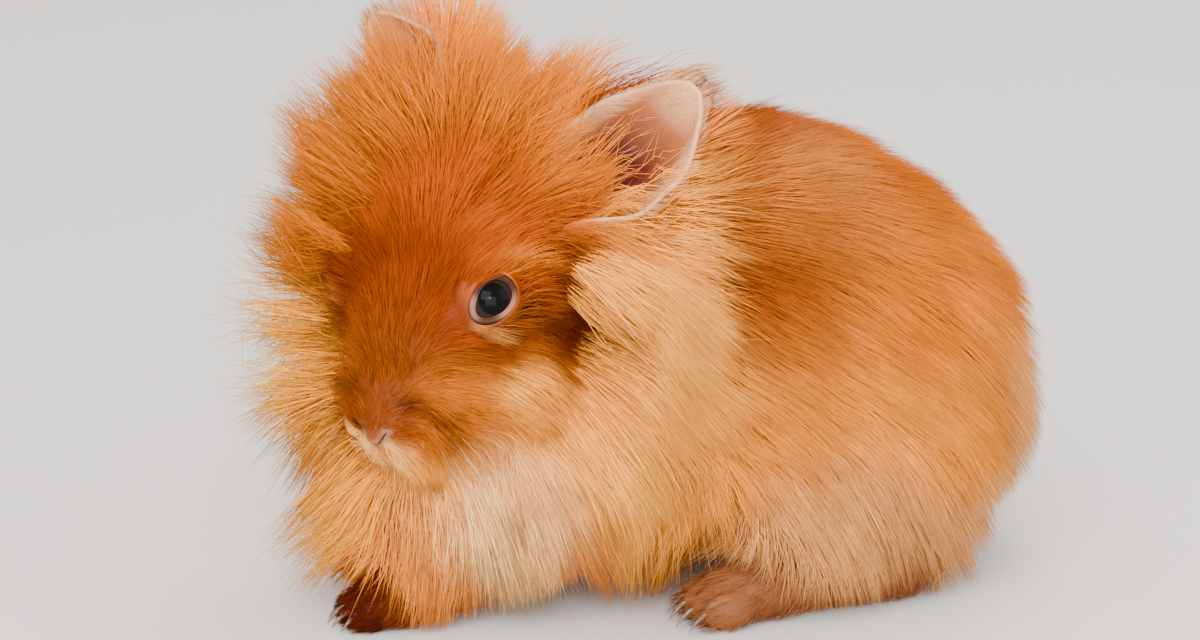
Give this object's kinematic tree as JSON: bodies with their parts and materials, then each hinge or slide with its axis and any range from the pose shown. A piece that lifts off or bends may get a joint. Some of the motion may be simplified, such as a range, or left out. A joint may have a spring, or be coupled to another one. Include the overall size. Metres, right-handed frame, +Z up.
{
  "type": "lionhead rabbit",
  "caption": "Life-size lionhead rabbit standing on four feet with its head turned, a long mane round its neck and short upright ears.",
  "frame": {"origin": "middle of the whole rabbit's box, on the floor under its feet", "axes": "+X to the rabbit's left, -Y the way its body faces, +Z up"},
  "size_m": [0.1227, 0.2166, 0.1583],
  "materials": {
    "coat_orange": "soft fur, deep orange",
    "coat_cream": "soft long fur, peach to cream",
    "ear_skin": "thin pink skin under sparse hair",
    "eye": "wet, very dark brown"
  },
  "bodies": {
    "root": {"torso": "coat_orange", "neck": "coat_cream", "head": "coat_orange", "tail": "coat_cream", "ear_left": "ear_skin", "ear_right": "ear_skin", "eye_left": "eye", "eye_right": "eye", "foreleg_left": "coat_cream", "foreleg_right": "coat_cream", "hindleg_left": "coat_cream", "hindleg_right": "coat_cream"}
  },
  "joints": []
}
